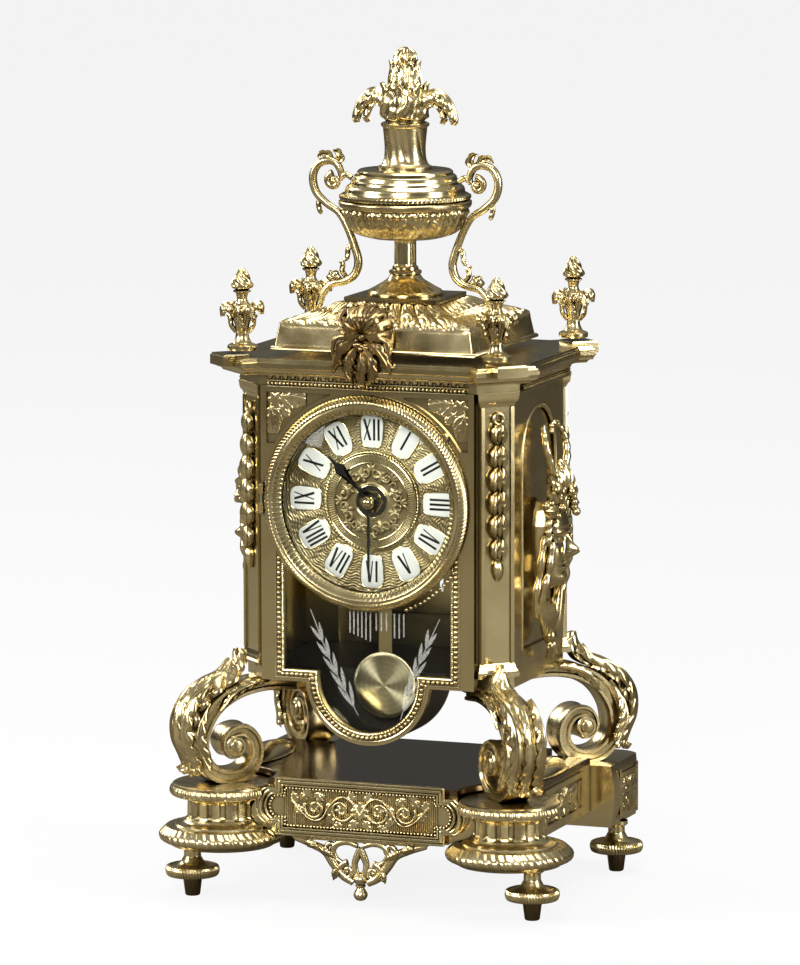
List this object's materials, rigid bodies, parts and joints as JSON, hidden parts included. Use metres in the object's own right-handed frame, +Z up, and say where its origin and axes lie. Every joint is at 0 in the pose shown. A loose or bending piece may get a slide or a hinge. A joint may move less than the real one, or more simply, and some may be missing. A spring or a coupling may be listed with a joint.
{
  "type": "table clock",
  "caption": "Brass mantel clock with a cut-cornered case on scroll legs, a hinged glazed bezel, a pendulum behind etched glass and an urn on the roof.",
  "frame": {"origin": "on the floor, below the middle of the clock", "axes": "+X to the right of the dial, +Y to the back, +Z up"},
  "size_m": [0.281, 0.237, 0.55],
  "materials": {
    "cast_brass": "antiqued gilt, bright on the high points",
    "dark_lacquer": "dark polished",
    "black_hands": "satin black",
    "enamel": "gloss white with black numerals",
    "clear_glass": "clear",
    "plain_brass": "polished",
    "spun_brass": "spun, satin",
    "dial_brass": "tooled, antiqued",
    "dark_interior": "dark matt",
    "black_plastic": "moulded",
    "board": "lacquered board",
    "copper": "enamelled wire",
    "cell": "plain sleeve",
    "steel": "plated",
    "door_brass": "polished sheet"
  },
  "bodies": {
    "case": {"base_apron": "cast_brass", "base_body": "cast_brass", "base_front_panel": "cast_brass", "base_top": "dark_lacquer", "battery": "cell", "battery_contacts": "steel", "bezel_hinge_pin": "steel", "case_floor": "dark_interior", "case_shell": "cast_brass", "circuit_board": "board", "corner_finials": "cast_brass", "cornice": "cast_brass", "dial_medallion": "dial_brass", "dial_plate": "dial_brass", "dial_spacer": "dark_interior", "door_hinge": "steel", "drive_coils": "copper", "drum_front_left": "cast_brass", "drum_front_right": "cast_brass", "feet": "cast_brass", "frieze": "cast_brass", "front_frame": "cast_brass", "movement_cover": "black_plastic", "movement_housing": "black_plastic", "movement_nut": "plain_brass", "numeral_plaques": "enamel", "pendulum_bracket": "black_plastic", "pilasters": "cast_brass", "rear_pedestals": "cast_brass", "roof": "cast_brass", "roof_cartouche": "cast_brass", "scroll_leg_front_left": "cast_brass", "scroll_leg_front_right": "cast_brass", "scroll_leg_rear_left": "cast_brass", "scroll_leg_rear_right": "cast_brass", "side_masks": "cast_brass", "urn_bowl": "cast_brass", "urn_flame": "cast_brass", "urn_handles": "cast_brass", "urn_lid": "cast_brass", "urn_neck": "cast_brass", "urn_plinth": "cast_brass", "urn_stem": "cast_brass", "urn_tie_rod": "steel", "window_beading": "cast_brass", "window_glass": "clear_glass"},
    "bezel": {"bezel": "cast_brass", "bezel_glass": "clear_glass", "bezel_glass_retainer": "plain_brass"},
    "minute_hand": {"minute_hand": "black_hands", "cannon_pinion": "plain_brass", "hand_nut": "plain_brass"},
    "hour_hand": {"hour_hand": "black_hands", "hour_wheel": "plain_brass"},
    "setting_wheel": {"minute_wheel": "black_plastic", "setting_knob": "black_plastic"},
    "pendulum": {"pendulum_rod": "plain_brass", "pendulum_bob": "spun_brass"},
    "back_door": {"back_door": "door_brass", "door_pull": "door_brass"}
  },
  "joints": [
    {"name": "bezel_hinge", "type": "hinge", "parent": "case", "child": "bezel", "pos_m": [-0.072, -0.0745, 0.2615], "axis": [0, 0, -1], "range_deg": [0, 110]},
    {"name": "minute_turn", "type": "hinge", "parent": "case", "child": "minute_hand", "pos_m": [0, -0.05, 0.2615], "axis": [0, 1, 0], "continuous": true},
    {"name": "hour_turn", "type": "hinge", "parent": "case", "child": "hour_hand", "pos_m": [0, -0.054, 0.2615], "axis": [0, 1, 0], "continuous": true},
    {"name": "setting_turn", "type": "hinge", "parent": "case", "child": "setting_wheel", "pos_m": [0.012, -0.05, 0.2615], "axis": [0, 1, 0], "continuous": true},
    {"name": "pendulum_swing", "type": "hinge", "parent": "case", "child": "pendulum", "pos_m": [0, -0.038, 0.284], "axis": [0, 1, 0], "range_deg": [-4, 4]},
    {"name": "door_hinge", "type": "hinge", "parent": "case", "child": "back_door", "pos_m": [-0.0526, 0.0695, 0.24], "axis": [0, 0, 1], "range_deg": [0, 110]}
  ],
  "couplings": [
    {"joint": "hour_turn", "follows": "minute_turn", "ratio": 0.083333},
    {"joint": "setting_turn", "follows": "minute_turn", "ratio": -0.33333}
  ]
}
